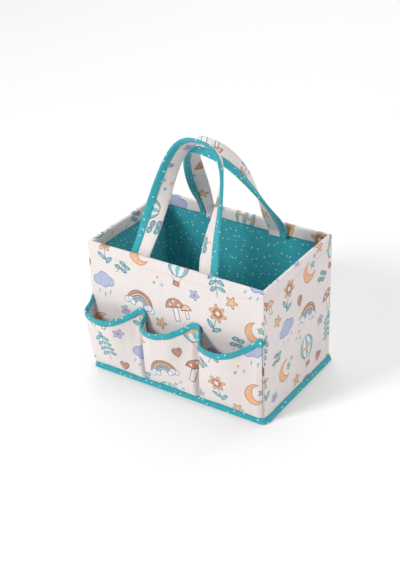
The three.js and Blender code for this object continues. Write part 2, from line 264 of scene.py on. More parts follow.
def finish_cloth(material, colour, height, roughness, sheen):
    """Joins a cloth's colour and bump to its shader."""
    tree = material.node_tree
    shader = tree.nodes["Principled BSDF"]
    shader.inputs["Roughness"].default_value = roughness
    shader.inputs["Sheen Weight"].default_value = sheen
    shader.inputs["Specular IOR Level"].default_value = 0.3
    bump_sockets = {"Strength": 0.6, "Distance": 0.15 * MM, "Height": height}
    bump = add_node(tree, "ShaderNodeBump", None, bump_sockets)
    tree.links.new(colour.socket, shader.inputs["Base Color"])
    tree.links.new(bump.socket, shader.inputs["Normal"])


def new_material(name, colour):
    material = bpy.data.materials.new(name)
    material.use_nodes = True
    material.diffuse_color = colour
    return material, material.node_tree


# %% [markdown]
# The print is a nursery one of small painted things, scattered over the cloth. It could be a picture
# wrapped round the caddy, but a print made of nodes stays sharp from near by and needs no file. Each
# thing sits in a cell of a loose grid, a little off its middle and a little turned, and is drawn by
# distances: the distance from an outline says what is inside it, and a thin band round zero is its
# inked edge. The hand-painted look comes from a wobble in the cloth's measure before it is read.

# %% Tools for the print
cream = rgb(235, 227, 225)
ink = rgb(88, 68, 62)
teal_paint = rgb(80, 182, 192)
deep_teal = rgb(30, 116, 134)
ochre_paint = rgb(232, 168, 106)
rust_paint = rgb(184, 106, 60)
lilac_paint = rgb(162, 174, 214)
blue_paint = rgb(86, 128, 184)
pale_paint = rgb(240, 238, 240)


class Painting:
    """A cloth's colour so far, painted over in the cells that one motif has.

    The wash says how thick the paint lies, as water-colour is never even.
    """

    def __init__(self, colour, wash):
        self.colour = colour
        self.wash = wash
        self.chosen = None

    def fill(self, distance, paint):
        self.colour = self.colour.mixed(paint, inside(distance) * self.chosen * self.wash)

    def draw(self, distance, paint, width=1.1):
        line = abs(distance) - width / 2
        self.colour = self.colour.mixed(paint, inside(line) * self.chosen * 0.85)

    def fill_and_draw(self, distance, paint, edge=ink):
        self.fill(distance, paint)
        self.draw(distance, edge)


def oval(x, y, across, along, wide, tall):
    """Distance from an oval's outline."""
    return (both((x - across) / wide, (y - along) / tall) - 1) * min(wide, tall)


def turned(x, y, angle):
    """A place seen from a frame that is turned by an angle, in radians."""
    cosine, sine = math.cos(angle), math.sin(angle)
    return x * cosine + y * sine, y * cosine - x * sine


def stroke(x, y, start, end, width):
    """Distance from a straight stroke between two places."""
    run = Vector(end) - Vector(start)
    across = x - start[0]
    along = y - start[1]
    share = ((across * run.x + along * run.y) / run.length_squared).clamped()
    return both(across - share * run.x, along - share * run.y) - width / 2


def blossom(x, y, radius, petals, depth):
    """Distance from a shape with round lobes, such as a flower or a star."""
    angle = y.math("ARCTAN2", x)
    reach = (angle * petals).cosine() * (radius * depth) + radius * (1 - depth)
    return both(x, y) - reach


def paint_leaf(painting, x, y, across, along, wide, tall):
    painting.fill_and_draw(oval(x, y, across, along, wide, tall), teal_paint, deep_teal)


def cells(u, v, pitch, shift, kinds, seed, looseness=0.07):
    """A loose grid: the place in its own cell of every point, and the kind of motif there."""
    column = ((u + shift) / pitch).floor()
    row = ((v + shift) / pitch).floor()
    loose = pitch * looseness
    x = u + shift - (column + 0.5) * pitch + (column * 12.9 + row * 7.7 + seed).sine() * loose
    y = v + shift - (row + 0.5) * pitch + (column * 4.3 + row * 15.1 + seed).sine() * loose
    tilt = (column * 9.1 + row * 3.7 + seed).sine() * 0.3
    cosine, sine = tilt.cosine(), tilt.sine()
    kind = (column * 3 + row * 9 + 1400 + seed).math("MODULO", kinds).floor()
    return x * cosine + y * sine, y * cosine - x * sine, kind


def is_kind(kind, number):
    return 1 - (abs(kind - number) * 4).clamped()


# %% [markdown]
# Seven larger things share the wide cells: a hot-air balloon, a rainbow on clouds, a moon with two
# stars, a flower, a sprig, a pair of mushrooms and a rain cloud. They are common nursery motifs.

# %% Larger motifs


def paint_balloon(painting, x, y):
    squeeze = (1 - ((y - 7) / 16) * ((y - 7) / 16)).most(0.1).root()
    gore = ((x / squeeze + 15) / 6).floor().math("MODULO", 2)
    envelope = oval(x, y, 0, 7, 14, 16)
    painting.fill(envelope, teal_paint)
    painting.fill(envelope.most(0.5 - gore), pale_paint)
    painting.fill(envelope.most(abs(y - 7) - 2.2), ochre_paint)
    painting.draw(envelope, ink)
    painting.draw(stroke(x, y, (-8, -6), (-3.4, -16), 0), rust_paint, 0.7)
    painting.draw(stroke(x, y, (8, -6), (3.4, -16), 0), rust_paint, 0.7)
    painting.fill_and_draw((abs(x) - 4).most(abs(y + 19) - 3), rust_paint)


def paint_rainbow(painting, x, y):
    bow = both(x, y + 9)
    below = -9 - y
    for outer, paint in ((19, rust_paint), (15.5, ochre_paint), (12, teal_paint), (8.5, lilac_paint)):
        band = (bow - outer).most(outer - 3.5 - bow).most(below)
        painting.fill_and_draw(band, paint)
    for side in (-1, 1):
        for across, up, radius in ((18, -10, 4.4), (13.5, -8, 4.6), (9.5, -10.5, 3.8)):
            painting.fill_and_draw(oval(x, y, side * across, up, radius, radius), pale_paint, blue_paint)


def paint_moon(painting, x, y):
    moon = oval(x, y, -2, 0, 14, 14)
    bite = oval(x, y, 5, 3, 11.5, 11.5)
    painting.fill_and_draw(moon.most(-bite), ochre_paint, rust_paint)
    painting.fill_and_draw(blossom(x - 7, y - 3, 5, 5, 0.26), teal_paint)
    painting.fill_and_draw(blossom(x - 13, y - 12, 2.6, 5, 0.26), lilac_paint)


def paint_flower(painting, x, y):
    painting.draw(stroke(x, y, (0, -2), (1, -22), 0), deep_teal, 1.3)
    for side, up in ((-1, -13), (1, -17)):
        paint_leaf(painting, *turned(x - side * 5, y - up, side * 0.7), 0, 0, 5.5, 2.4)
    painting.fill_and_draw(blossom(x, y - 6, 12, 6, 0.2), ochre_paint)
    painting.fill_and_draw(blossom(x, y - 6, 7, 6, 0.16), rust_paint)
    painting.fill(oval(x, y, 0, 6, 3, 3), pale_paint)


def paint_sprig(painting, x, y):
    painting.draw(stroke(x, y, (-2, -22), (2, 20), 0), deep_teal, 1.1)
    pair = (y / 8).floor().most(-2).least(1)
    for side in (-1, 1):
        paint_leaf(painting, *turned(x - side * 5.5, y - pair * 8 - 5, side * -0.6), 0, 0, 5.2, 2.3)
    paint_leaf(painting, x, y, 2, 20, 2.2, 4.4)


def paint_mushrooms(painting, x, y):
    for across, size in ((-5, 1.0), (11, 0.6)):
        stem = (abs(x - across) - 3.4 * size).most(abs(y + 10) - 9 * size)
        painting.fill_and_draw(stem, pale_paint)
        top = 9 * size - 10
        cap = oval(x, y, across, top, 13 * size, 12 * size).most(top - y)
        painting.fill_and_draw(cap, rust_paint if size == 1 else ochre_paint)
        for spot, up in ((-6, 4), (0, 8), (6, 3)):
            place = (across + spot * size, top + up * size)
            painting.fill(oval(x, y, *place, 1.8 * size, 1.6 * size), pale_paint)


def paint_rain_cloud(painting, x, y):
    puffs = ((-9, 3, 6.5), (0, 6, 9), (9, 3, 6.5), (0, 1, 7))
    outline = None
    for across, up, radius in puffs:
        puff = oval(x, y, across, up, radius, radius)
        outline = puff if outline is None else outline.least(puff)
    painting.fill_and_draw(outline, lilac_paint, blue_paint)
    for across, up in ((-9, -10), (-1, -14), (8, -10)):
        painting.fill(stroke(x, y, (across, up), (across - 1.5, up - 4), 2), teal_paint)


larger_motifs = (
    paint_balloon,
    paint_flower,
    paint_rainbow,
    paint_sprig,
    paint_moon,
    paint_mushrooms,
    paint_rain_cloud,
)

# %% [markdown]
# Five small things fill the gaps between them, in a second grid half a cell away.

# %% Smaller motifs


def paint_star(painting, x, y):
    painting.fill_and_draw(blossom(x, y, 6, 5, 0.27), ochre_paint)


def paint_heart(painting, x, y):
    lifted = y - (abs(x) * 3.4).root() + 1.2
    painting.fill_and_draw(both(x, lifted) - 4.6, rust_paint)


def paint_twig(painting, x, y):
    painting.draw(stroke(x, y, (-5, -6), (4, 7), 0), rust_paint, 0.8)
    for across, up in ((-4, 0), (3, -1), (0, 6), (6, 4)):
        paint_leaf(painting, x, y, across, up, 2.8, 1.8)


def paint_daisy(painting, x, y):
    painting.fill_and_draw(blossom(x, y, 5.4, 5, 0.2), lilac_paint, blue_paint)
    painting.fill(oval(x, y, 0, 0, 1.7, 1.7), rust_paint)


def paint_dots(painting, x, y):
    for across, up, paint in ((-4, -2, teal_paint), (1, 4, ochre_paint), (5, -3, lilac_paint)):
        painting.fill(oval(x, y, across, up, 1.7, 1.7), paint)


smaller_motifs = (paint_star, paint_twig, paint_daisy, paint_heart, paint_dots)

# %% [markdown]
# The printed cotton puts these on a warm pale ground. The paint is laid thin, so the weave and a
# faint unevenness of tone show through it.

# %% Printed cotton
motif_pitch = 62
hand_wobble = 2.2


def printed_cotton():
    material, tree = new_material("printed_cotton", cream)
    u, v, uv = flat_measure(tree)
    wobbled_u = u + (soft_noise(tree, uv, 90) - 0.5) * hand_wobble
    wobbled_v = v + (soft_noise(tree, uv, 75) - 0.5) * hand_wobble
    mottle = soft_noise(tree, uv, 55, 3)
    wash = soft_noise(tree, uv, 210, 3) * 0.7 + 0.5
    painting = Painting(mix(tree, mottle * 0.5, cream, rgb(228, 217, 213)), wash.clamped())
    for shift, motifs, seed, scale in (
        (0, larger_motifs, 1.0, 1.16),
        (motif_pitch / 2, smaller_motifs, 2.0, 1.5),
    ):
        x, y, kind = cells(wobbled_u, wobbled_v, motif_pitch, shift, len(motifs), seed)
        for number, paint in enumerate(motifs):
            painting.chosen = is_kind(kind, number)
            paint(painting, x / scale, y / scale)
    weave = weave_height(u, v, 0.55)
    long_yarns = add_node(tree, "ShaderNodeCombineXYZ", None, {0: u * 0.9, 1: v * 0.03})
    slubs = soft_noise(tree, long_yarns, 1.0)
    hollow_tone_and_shade = painting.colour.mixed(cream, (1 - weave) * 0.16)
    yarned = hollow_tone_and_shade.mixed(rgb(206, 190, 184), ((slubs - 0.5) * 0.9).clamped())
    finish_cloth(material, yarned, weave + mottle * 0.6 + slubs * 0.7, 0.88, 0.25)
    return material


# %% [markdown]
# The teal cotton of the tapes and the lining has white dots and gold specks, loosely scattered by
# two grids of different pitch.

# %% Teal cotton
teal = rgb(58, 180, 190)
dark_teal = rgb(36, 158, 172)


def teal_cotton():
    material, tree = new_material("teal_cotton", teal)
    u, v, uv = flat_measure(tree)
    mottle = soft_noise(tree, uv, 60, 3)
    painting = Painting(mix(tree, mottle * 0.8, teal, dark_teal), 1)
    for pitch, shift, seed in ((9.5, 0, 0.0), (14, 5, 4.0)):
        x, y, kind = cells(u, v, pitch, shift, 5, seed, looseness=0.26)
        painting.chosen = is_kind(kind, 0) + is_kind(kind, 3)
        painting.fill(both(x, y) - 0.95, rgb(240, 250, 250))
        painting.chosen = is_kind(kind, 1)
        painting.fill(blossom(x, y, 1.1, 4, 0.3), rgb(196, 172, 70))
    weave = weave_height(u, v, 0.5)
    # Painted shade: the weave's hollows are painted a darker teal.
    hollow_tone_and_shade = painting.colour.mixed(rgb(28, 120, 130), (1 - weave) * 0.25)
    finish_cloth(material, hollow_tone_and_shade, weave + mottle * 0.6, 0.82, 0.25)
    return material


# %% [markdown]
# The rest is plain: white sewing foam with open cells, grey board, a pale and a teal thread, and a
# white floor.

# %% Plain finishes


def foam():
    material, tree = new_material("foam", rgb(244, 243, 238))
    place = add_node(tree, "ShaderNodeTexCoord", output="Object")
    pores = add_node(tree, "ShaderNodeTexVoronoi", None, {"Vector": place, "Scale": 900})
    # Painted shade: the foam is painted darker in its pores, where its surface lies lower.
    colour = mix(tree, pores.clamped(), rgb(247, 246, 242), rgb(226, 224, 216))
    finish_cloth(material, colour, 1 - pores, 0.95, 0)
    return material


def greyboard():
    material, tree = new_material("greyboard", rgb(156, 146, 134))
    fibre = soft_noise(tree, add_node(tree, "ShaderNodeTexCoord", output="Object"), 420, 6)
    finish_cloth(material, mix(tree, fibre, rgb(138, 128, 117), rgb(174, 165, 152)), fibre, 0.85, 0)
    return material


def thread(name, light, dark):
    """Twisted thread: bands of painted highlight and shade that lean along its own measure."""
    material, tree = new_material(name, light)
    u, v, _ = flat_measure(tree)
    twist = (u * 9 + v * 14).sine() * 0.5 + 0.5
    finish_cloth(material, mix(tree, twist, light, dark), twist, 0.6, 0.1)
    return material


def studio_floor():
    white = rgb(250, 250, 250)
    material, tree = new_material("studio_floor", white)
    shader = tree.nodes["Principled BSDF"]
    shader.inputs["Base Color"].default_value = white
    shader.inputs["Roughness"].default_value = 0.9
    return material


finishes = {
    "printed_cotton": printed_cotton(),
    "teal_cotton": teal_cotton(),
    "foam": foam(),
    "board": greyboard(),
}
threads = {
    "printed_cotton": thread("pale_thread", rgb(240, 232, 226), rgb(214, 202, 194)),
    "teal_cotton": thread("teal_thread", rgb(60, 176, 184), rgb(30, 130, 140)),
}
floor.data.materials.append(studio_floor())
print("nodes in the print:", len(finishes["printed_cotton"].node_tree.nodes))

# %% [markdown]
# Sizes, in millimetres. The outline comes from the frame, and the layers are those of the solids:
# cloth, foam and lining, each a little apart from the next.

# %% Sizes
clearance = 0.3
outer_cloth = 1.0
foam_thickness = 2.4
lining_cloth = 0.8
binding_cloth = 0.8
edge_overhang = 5
corner_radius = 3
smallest_radius = 1.5
foot_rounding = 1.6
band_height = 9.5
binding_reach = 10
hem_depth = 20
roll_radius = 2.6
lining_top = 203
pocket_top_left = 121
pocket_top_right = 133
pocket_seams = (-51.5, 39)

foot_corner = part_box("base_binding")[1]
wall_bottom, rim = (corner.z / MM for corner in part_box("front_outer_panel"))
half_length = foot_corner.x / MM - edge_overhang
half_depth = foot_corner.y / MM - edge_overhang
foam_out = -(outer_cloth + clearance + foam_thickness / 2)
lining_out = foam_out - foam_thickness / 2 - clearance - lining_cloth / 2
facing_out = lining_out - lining_cloth / 2 - clearance - outer_cloth / 2
flare_slope = (edge_overhang - clearance - binding_cloth) / band_height
print("half length and depth, rim:", half_length, half_depth, rim)

# %% [markdown]
# Padded walls are never flat. Between its seams a wall swells a little and has slow waves, and the
# side walls keep a crease down the middle from being folded flat. The front is pulled in along the
# two pocket seams. That could be sculpted, but as a sum all layers of a wall share one shape and
# stay nested. It dies away at the corners, at the bound foot and at the rim.

# %% How far a wall gives
walls = {}
for turn, name in enumerate(("front", "right", "back", "left")):
    along, across = (half_depth, half_length) if turn % 2 else (half_length, half_depth)
    walls[name] = {"turn": turn, "along": along, "across": across, "seed": 3 + 8 * turn}
swell_height = 1.3
long_wave = 1.9
short_wave = 0.7
fold_depth = 1.5
groove_depth = 2.2
groove_width = 3.4


def ease(share):
    """0 to 1 with soft ends."""
    share = min(1, max(0, share))
    return share * share * (3 - 2 * share)


def slow(x, y, seed):
    """A smooth wave of about -1 to 1."""
    return noise.noise(Vector((x, y, seed)))


def give(name, along, z):
    """How far a wall stands out from its flat plane, in millimetres."""
    wall = walls[name]
    half = wall["along"]
    seed = wall["seed"]
    from_corner = ease((half - abs(along)) / 26)
    from_foot = ease((z - band_height) / 40)
    under_rim = ease((rim + 6 - z) / 36)
    swell = swell_height * math.cos(0.5 * math.pi * along / half) * math.sin(math.pi * min(1, z / rim))
    waves = long_wave * slow(along / 62, z / 58, seed) + short_wave * slow(along / 21, z / 27, seed + 5)
    out = (swell + waves) * from_corner * from_foot * (0.25 + 0.75 * under_rim)
    if half < half_length:
        fold = fold_depth * (math.exp(-abs(along) / 16) + math.exp(-((along / 2) ** 2)))
        out -= fold * from_foot * (0.35 + 0.65 * under_rim)
    if name == "front":
        for seam in pocket_seams:
            groove = groove_depth * math.exp(-(((along - seam) / groove_width) ** 2))
            out -= groove * from_foot * ease((pocket_top_left - z) / 12)
    return out


# %% [markdown]
# A wall's plan is a straight run with half of a rounded corner at each end. A column says where
# along that plan it is, and wall_point turns a column, an offset and a height into a place.

# %% Places on a wall


def flare(z):
    """How far the foot of a wall has spread out at a height."""
    return max(0, band_height - z) * flare_slope


def corner_reach(out):
    growth = foot_rounding * out if out > 0 else out
    return max(corner_radius + growth, smallest_radius)


def wall_columns(name, step, corner_steps=3):
    """(share of the straight run, angle round the corner, flat distance) of each column."""
    half = walls[name]["along"]
    straight = half - corner_radius
    count = round(2 * straight / step)
    arc = corner_radius * math.pi / 4
    columns = []
    for number in range(corner_steps, 0, -1):
        share = number / corner_steps
        columns.append((-1, -45 * share, -straight - arc * share))
    for number in range(count + 1):
        share = 2 * number / count - 1
        columns.append((share, 0, share * straight))
    for number in range(1, corner_steps + 1):
        share = number / corner_steps
        columns.append((1, 45 * share, straight + arc * share))
    return columns


def wall_point(name, column, out, z, slide=0):
    """A place on a wall, in millimetres. Out is measured from the outer face of its cloth."""
    wall = walls[name]
    share, angle, _ = column
    radius = corner_reach(out)
    straight = wall["along"] + out - radius
    turn = math.radians(angle)
    side = 1 if angle > 0 else -1
    along = share * straight + radius * math.sin(turn)
    moved = out + give(name, share * straight, z)
    across = wall["across"] + moved - radius + radius * math.cos(turn)
    along -= side * slide * math.cos(turn)
    across += slide * abs(math.sin(turn))
    quarter = wall["turn"] * math.pi / 2
    return Vector((
        along * math.cos(quarter) + across * math.sin(quarter),
        along * math.sin(quarter) - across * math.cos(quarter),
        z,
    ))


# %% [markdown]
# Sewing starts with cutting. A grid primitive stands for the cut cloth, its UV map keeps the flat
# measure, and every point is then laid in place. A cloth simulation could drape it instead, but it
# would drift away from the solids that it dresses. Solidify gives the cloth its thickness and a
# level of subdivision its smooth bends.

# %% Cut, lay and finish a cloth


def only(piece):
    """Selects one piece and nothing else."""
    bpy.ops.object.select_all(action="DESELECT")
    piece.select_set(True)
    bpy.context.view_layer.objects.active = piece


def lay_cloth(name, columns, rows, lay):
    """A grid of points laid in place. Lay gives a point's place and its measure on the flat."""
    bpy.ops.object.select_all(action="DESELECT")
    bpy.ops.mesh.primitive_grid_add(
        x_subdivisions=len(columns) - 1, y_subdivisions=len(rows) - 1, size=1)
    cloth = bpy.context.object
    cloth.name = cloth.data.name = name
    laid = [lay(column, row) for row in rows for column in columns]
    for vertex, (place, _) in zip(cloth.data.vertices, laid):
        vertex.co = place * MM
    measures = cloth.data.uv_layers.active.data
    for loop in cloth.data.loops:
        measures[loop.index].uv = Vector(laid[loop.vertex_index][1]) * MM
    return cloth


def face_outward(piece, merge=None):
    """Merges doubled points if asked, and turns all faces outward."""
    only(piece)
    bpy.ops.object.mode_set(mode="EDIT")
    bpy.ops.mesh.select_all(action="SELECT")
    if merge:
        bpy.ops.mesh.remove_doubles(threshold=merge * MM)
    bpy.ops.mesh.normals_make_consistent(inside=False)
    bpy.ops.object.mode_set(mode="OBJECT")


def thicken(cloth, thickness):
    """Gives a laid cloth its thickness, half on each side, and smooths it."""
    solidify = cloth.modifiers.new("thickness", "SOLIDIFY")
    solidify.thickness = thickness * MM
    solidify.offset = 0
    smooth = cloth.modifiers.new("smooth", "SUBSURF")
    smooth.levels = 1
    smooth.uv_smooth = "PRESERVE_BOUNDARIES"
    only(cloth)
    for name in ("thickness", "smooth"):
        bpy.ops.object.modifier_apply(modifier=name)
    face_outward(cloth)
    only(cloth)
    bpy.ops.object.shade_smooth()


def dress(piece, slot, *nodes, body="caddy"):
    """Gives a finished piece the material of its slot and its body, and hides the solids it stands for."""
    piece.data.materials.append(finishes[slot])
    if body:
        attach(piece, body)
    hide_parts(*nodes)
    print(f"{piece.name}: {len(piece.data.polygons)} faces")


def make_cloth(name, columns, rows, lay, thickness, slot, *nodes):
    """A cloth from its cut to its finish."""
    cloth = lay_cloth(name, columns, rows, lay)
    thicken(cloth, thickness)
    dress(cloth, slot, *nodes)
    return cloth


def spread(low, high, step):
    """Evenly spaced values from low to high, about a step apart, ends included."""
    count = max(1, round((high - low) / step))
    return [low + (high - low) * number / count for number in range(count + 1)]


def run_along(line):
    """How far along a line of places each one lies, measured from place to place."""
    run = [0]
    for before, after in zip(line, line[1:]):
        run.append(run[-1] + math.dist(before, after))
    return run


def step_at(run, distance):
    """Which step of a measured line a distance falls in, and its share of that step."""
    index = min(max(0, bisect_right(run, distance) - 1), len(run) - 2)
    return index, (distance - run[index]) / (run[index + 1] - run[index])


def measured(profile):
    """A profile's pairs of offset and height, each with its flat distance from the first."""
    return [(*place, run) for place, run in zip(profile, run_along(profile))]


# %% [markdown]
# The outer cloth of a wall runs up from the bound foot, rolls over the rim and down inside, where
# its edge is stitched over the lining as a facing. An extruded wall with a bevelled rim would look
# much the same, but its print would break at the rim. So one profile holds that whole run: pairs of
# offset and height, with the flat distance to each. At the corners the cloth dips in to its seam.

# %% Outer cloth of the walls


def hem_profile():
    """(offset, height, flat distance up the cloth) of the middle of the cloth."""
    half = outer_cloth / 2
    turn = roll_radius - half
    roll_z = rim - roll_radius
    inner = facing_out - half + roll_radius
    points = [(flare(z) - half, z) for z in (wall_bottom, 5, 7.5)]
    points += [(-half, z) for z in spread(band_height, rim - hem_depth - 6, 4.5)]
    points += [(-half, z) for z in spread(rim - hem_depth - 4, rim - hem_depth + 8, 1.3)]
    points += [(-half, z) for z in (202, 205)]
    for middle, angles in ((-roll_radius, (0, 22, 45, 68, 90)), (inner, (90, 112, 135, 158, 180))):
        for angle in map(math.radians, angles):
            points.append((middle + turn * math.cos(angle), roll_z + turn * math.sin(angle)))
    points += [(facing_out, z) for z in spread(205, rim - hem_depth, 2.5)]
    return measured(points)


seam_height = rim - hem_depth + 2
dent_depth = 0.5
gather_height = 0.28
hem_fullness = 0.5


def pucker(along, z, seed):
    """The dent along a line of stitches, the small gathers beside it and the fuller hem above."""
    away = z - seam_height
    at_seam = math.exp(-((away / 1.5) ** 2))
    gather = gather_height * math.sin(along * 0.9 + 3 * slow(along / 30, 0, seed))
    fuller = hem_fullness * ease(away / 3) * ease((rim - z) / 6)
    return fuller - dent_depth * at_seam + gather * math.exp(-abs(away) / 5) * (1 - at_seam)


def make_outer_cloth(name, print_shift):
    columns = wall_columns(name, 3 if walls[name]["along"] == half_length else 2)
    rows = hem_profile()
    sewn = {columns[0][2], columns[-1][2]}

    def lay(column, row):
        out, z, run = row
        along = column[2]
        flat = along + print_shift, run + 0.37 * print_shift
        outward = 1 if out > -roll_radius else -1
        if along in sewn:
            return wall_point(name, column, out - 0.45 * outward, z, slide=0.12), flat
        dent = pucker(along, z, walls[name]["seed"]) if z < rim - 4 else 0
        return wall_point(name, column, out + outward * dent, z), flat

    cloth = make_cloth(
        f"{name}_outer_cloth", columns, rows, lay, outer_cloth, "printed_cotton",
        f"{name}_outer_panel")


for number, name in enumerate(walls):
    make_outer_cloth(name, 411 * number + 26)

# %% [markdown]
# The foam is a plain slab between the cloths, cut a little short of the rim. The lining is a thin
# cloth inside it that runs up under the facing. Neither needs more than the wall's own shape.

# %% Foam and lining of the walls


def make_layer(name, what, out, bottom, top, step, thickness, slot, node):
    """One layer inside a wall, at an offset from the outer face."""
    columns = wall_columns(name, step, corner_steps=2)
    ends = {columns[0][2], columns[-1][2]}
    narrower = 1 + out / walls[name]["along"]

    def lay(column, z):
        slide = 0.06 if column[2] in ends else 0
        return wall_point(name, column, out, z, slide), (column[2] * narrower, z)

    rows = spread(bottom, top, step)
    return make_cloth(f"{name}_{what}", columns, rows, lay, thickness, slot, f"{name}_{node}")


floor_bottom, floor_top = (corner.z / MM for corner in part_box("base_lining"))
foam_top = rim - roll_radius - 1
for name in walls:
    slab = make_layer(
        name, "wall_foam", foam_out, wall_bottom + 1, foam_top, 9, foam_thickness, "foam", "foam")
    inner = make_layer(
        name, "wall_lining", lining_out, floor_top + clearance, lining_top, 6, lining_cloth,
        "teal_cotton", "lining")
    wide = 2 * (walls[name]["along"] + lining_out)
    wide * MM

# %% [markdown]
# Underneath, the bottom cloth lies on the floor and steps up over the foot tape near its edge.
# Inside, the floor cloth lies on the stiff board and swells a little between its edges.

# %% Bottom cloth and floor cloth


def rounded(x, y, half_x, half_y, radius):
    """Keeps a place inside a rectangle with rounded corners."""
    over_x = abs(x) - (half_x - radius)
    over_y = abs(y) - (half_y - radius)
    if over_x > 0 and over_y > 0:
        reach = math.hypot(over_x, over_y)
        if reach > radius:
            x = math.copysign(half_x - radius + over_x * radius / reach, x)
            y = math.copysign(half_y - radius + over_y * radius / reach, y)
    return x, y


def bottom_lines(half, edge, step):
    """Grid lines across the bottom cloth, closer together where it steps up."""
    inner = edge - 3
    middle = spread(-inner, inner, step)
    side = [inner + 1.0, inner + 2.0, edge, (edge + half) / 2, half]
    return [-value for value in reversed(side)] + middle + side


def make_bottom_cloth():
    half_x, half_y = (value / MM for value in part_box("base_outer_cloth")[1].xy)
    lift = binding_cloth + clearance
    step_x = half_length + edge_overhang - binding_reach - clearance
    step_y = half_depth + edge_overhang - binding_reach - clearance
    columns = bottom_lines(half_x, step_x, 10)
    rows = bottom_lines(half_y, step_y, 10)

    def lay(x, y):
        edge = max(abs(x) - step_x, abs(y) - step_y)
        rise = lift * ease((edge + 3) / 3)
        corner = rounded(x, y, half_x, half_y, corner_reach(half_x - half_length))
        return Vector((*corner, outer_cloth / 2 + rise)), (x + 77, y + 915)

    cloth = make_cloth(
        "bottom_cloth", columns, rows, lay, outer_cloth, "printed_cotton", "base_outer_cloth")


def make_floor_cloth():
    half_x, half_y = (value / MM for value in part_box("base_lining")[1].xy)
    middle = (floor_bottom + floor_top) / 2

    def lay(x, y):
        inward = min(half_x - abs(x), half_y - abs(y))
        swell = 0.5 * ease(inward / 30) + 0.5 * ease(inward / 20) * max(0, slow(x / 40, y / 36, 41))
        corner = rounded(x, y, half_x, half_y, smallest_radius)
        return Vector((*corner, middle + swell)), (x, y)

    columns = spread(-half_x, half_x, 6)
    rows = spread(-half_y, half_y, 6)
    cloth = make_cloth("floor_cloth", columns, rows, lay, lining_cloth, "teal_cotton", "base_lining")


make_bottom_cloth()
make_floor_cloth()
board = frame["nodes"]["base_board"]
board.data.materials.clear()
board.data.materials.append(finishes["board"])

# %% [markdown]
# The foot tape is folded over the bottom edge: down outside the flared wall and in underneath. A
# coloured stripe on the wall would do from afar, but a tape stands out by its own thickness. It is
# laid as one band round the caddy whose two ends are then merged, as a tape is joined.

# %% Foot tape


def tape_profile():
    """(offset, height, flat distance) across the middle of the tape, from its top edge inward."""
    half = binding_cloth / 2
    foot = edge_overhang - half
    top = flare(band_height) + clearance + half
    points = [(top - 0.15, band_height), (top + 0.35, 8.3)]
    for share in (0.3, 0.55, 0.8):
        lean = top + (foot - top) * share
        points.append((lean + 0.45 * math.sin(math.pi * share), band_height * (1 - share)))
    points += [(foot, half + 1.0), (foot - 0.25, half + 0.35), (foot - 1.0, half)]
    points += [(out, half) for out in (foot - 3, foot - 6, edge_overhang - binding_reach)]
    return measured(points)


def ring_columns(step, corner_steps):
    """(wall, share of the straight run, angle, flat distance) all the way round the plan."""
    columns = []
    run = 0
    for name in walls:
        straight = walls[name]["along"] - corner_radius
        for place in spread(-straight, straight, step):
            columns.append((name, place / straight, 0, run + place + straight))
        run += 2 * straight
        arc = corner_radius * 1.5 * math.pi / 2
        for number in range(1, corner_steps):
            share = number / corner_steps
            columns.append((name, 1, 90 * share, run + arc * share))
        run += arc
    return [*columns, (*columns[0][:3], run)]


def ring_point(column, out, z):
    name, share, angle, _ = column
    return wall_point(name, (share, angle, 0), out, z)


def make_foot_tape():
    columns = ring_columns(4, 7)
    rows = tape_profile()

    def lay(column, row):
        out, z, run = row
        around = column[3]
        if z > 1.2:
            out += 0.22 * slow(around / 7, z / 6, 51) + 0.15 * slow(around / 23, z / 9, 52)
        return ring_point(column, out, z), (around, run + 1300)

    tape = lay_cloth("foot_tape", columns, rows, lay)
    face_outward(tape, merge=0.01)
    thicken(tape, binding_cloth)
    dress(tape, "teal_cotton", "base_binding")
    columns[-1][3] * MM
    rows[-1][2] * MM


make_foot_tape()

# %% [markdown]
# One strip of cloth makes all three pockets. At its foot it lies on the wall, with the spare cloth
# of each pocket folded into a pleat beside the seam. At its top it stands open, and the pleat opens
# with it: the edge runs a little along the wall, comes back outward and then goes across the front.
# Sculpting could make such folds, but would stretch the cloth. So each pocket has two lines in plan
# with the same stations, and the cloth runs from one to the other.

# %% The pocket strip's lines
pocket_cloth = 1.0
pocket_drop = 20.5
seam_peak = 2.5
seam_half_width = 1
pocket_band = 8.5
pleat_depth = 10
pleat_edge = 0
pleat_settles = 1.6
foot_puff = 1.5
end_puff = 5
end_drop = 4
side_puff = 4
side_reach = 12
soft_fold = 0.9
small_fold = 0.5
left_seam, right_seam = pocket_seams
pocket_end = half_length - corner_radius
pocket_foot = band_height + clearance
pockets = (
    {"start": -pocket_end, "end": left_seam - seam_half_width, "depth": 29, "crest": 37,
     "underlap": 0.5, "edge": -0.5},
    {"start": left_seam + seam_half_width, "end": right_seam - seam_half_width, "depth": 25.5,
     "crest": 31, "underlap": 4.5, "edge": 3.5},
    {"start": right_seam + seam_half_width, "end": pocket_end, "depth": 30, "crest": 46,
     "underlap": 5.5, "edge": 13},
)


def along_line(points, count):
    """Evenly spaced points along a line through given points, count steps of them."""
    run = run_along(points)
    spaced = []
    for number in range(count + 1):
        index, share = step_at(run, run[-1] * number / count)
        spaced.append(points[index].lerp(points[index + 1], share))
    return spaced, run[-1]


def curve_through(points, between=16):
    """A smooth line through points, as a Catmull-Rom curve."""
    ends = [points[0] * 2 - points[1], *points, points[-1] * 2 - points[-2]]
    line = []
    for index in range(1, len(ends) - 2):
        p0, p1, p2, p3 = ends[index - 1:index + 3]
        for step in range(between):
            t = step / between
            line.append(0.5 * (
                2 * p1 + (p2 - p0) * t + (2 * p0 - 5 * p1 + 4 * p2 - p3) * t * t
                + (3 * p1 - p0 - 3 * p2 + p3) * t * t * t))
    line.append(points[-1])
    return line


def bend(centre, radius, start, end, steps=6):
    """Points round an arc, by its angles in degrees."""
    angles = [math.radians(start + (end - start) * step / steps) for step in range(steps + 1)]
    return [centre + radius * Vector((math.cos(angle), math.sin(angle))) for angle in angles]


